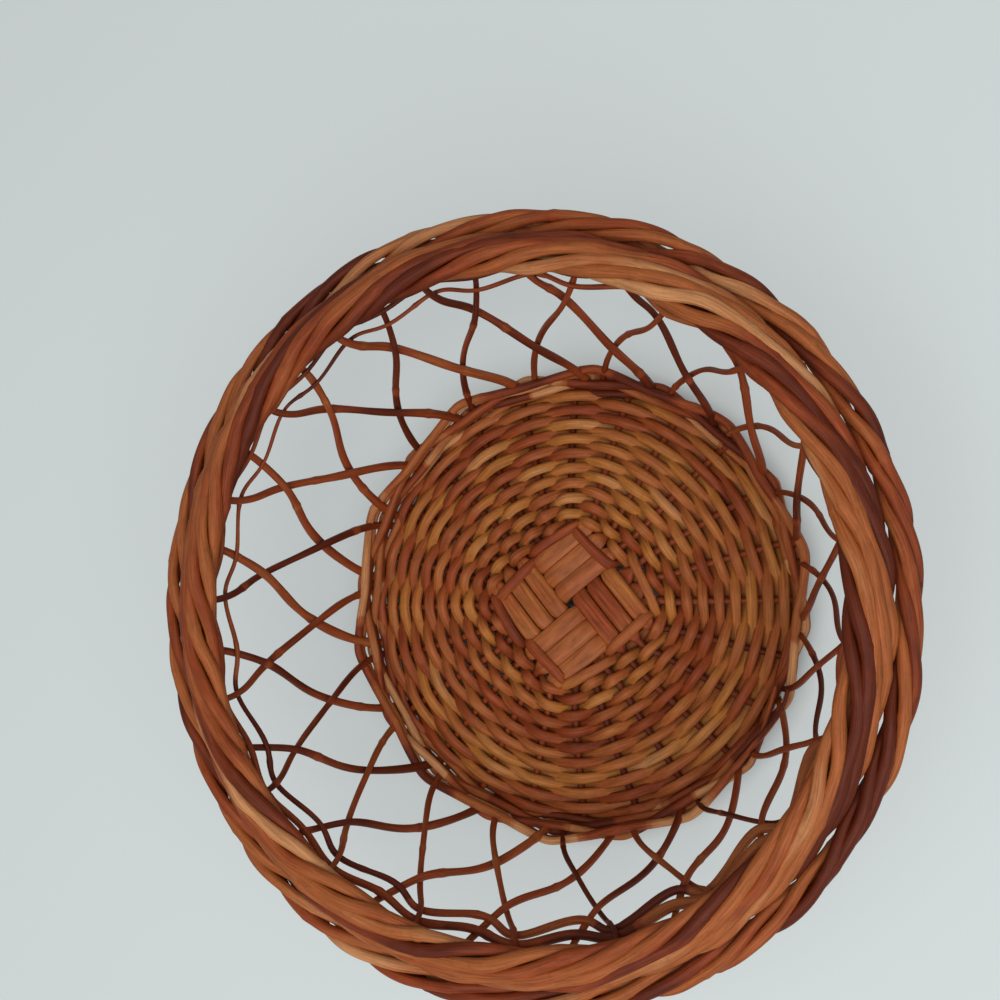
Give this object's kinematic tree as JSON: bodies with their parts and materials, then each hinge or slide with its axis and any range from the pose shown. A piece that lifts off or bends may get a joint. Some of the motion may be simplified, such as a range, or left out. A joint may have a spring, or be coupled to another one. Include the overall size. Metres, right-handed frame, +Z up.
{
  "type": "onion basket",
  "caption": "Round openwork willow basket with a domed woven base, a flaring wall of crossing stakes and a rope border.",
  "frame": {"origin": "middle of the base, on the surface that the basket stands on", "axes": "+Z up through the open mouth; +X and +Y in the plane of the floor, the base's flat sticks running 36 degrees from +X towards +Y"},
  "size_m": [0.2294, 0.2293, 0.0855],
  "materials": {
    "stake_willow": "satin",
    "border_willow": "satin",
    "weaver_willow": "satin",
    "slat_willow": "satin"
  },
  "bodies": {
    "root": {"base_flat_stick_1": "slat_willow", "base_flat_stick_2": "slat_willow", "base_flat_stick_3": "slat_willow", "base_flat_stick_4": "slat_willow", "base_flat_stick_5": "slat_willow", "base_flat_stick_6": "slat_willow", "base_round_stick_1": "weaver_willow", "base_round_stick_2": "weaver_willow", "base_round_stick_3": "weaver_willow", "base_round_stick_4": "weaver_willow", "base_round_stick_5": "weaver_willow", "base_round_stick_6": "weaver_willow", "base_weaver": "weaver_willow", "border_rod_1": "border_willow", "border_rod_2": "border_willow", "border_rod_3": "border_willow", "border_rod_4": "border_willow", "border_rod_5": "border_willow", "fitch_rod": "weaver_willow", "stake_left_01": "stake_willow", "stake_left_02": "stake_willow", "stake_left_03": "stake_willow", "stake_left_04": "stake_willow", "stake_left_05": "stake_willow", "stake_left_06": "stake_willow", "stake_left_07": "stake_willow", "stake_left_08": "stake_willow", "stake_left_09": "stake_willow", "stake_left_10": "stake_willow", "stake_left_11": "stake_willow", "stake_left_12": "stake_willow", "stake_left_13": "stake_willow", "stake_left_14": "stake_willow", "stake_left_15": "stake_willow", "stake_left_16": "stake_willow", "stake_left_17": "stake_willow", "stake_left_18": "stake_willow", "stake_left_19": "stake_willow", "stake_left_20": "stake_willow", "stake_right_01": "stake_willow", "stake_right_02": "stake_willow", "stake_right_03": "stake_willow", "stake_right_04": "stake_willow", "stake_right_05": "stake_willow", "stake_right_06": "stake_willow", "stake_right_07": "stake_willow", "stake_right_08": "stake_willow", "stake_right_09": "stake_willow", "stake_right_10": "stake_willow", "stake_right_11": "stake_willow", "stake_right_12": "stake_willow", "stake_right_13": "stake_willow", "stake_right_14": "stake_willow", "stake_right_15": "stake_willow", "stake_right_16": "stake_willow", "stake_right_17": "stake_willow", "stake_right_18": "stake_willow", "stake_right_19": "stake_willow", "stake_right_20": "stake_willow", "upsett_rod": "border_willow"}
  },
  "joints": []
}
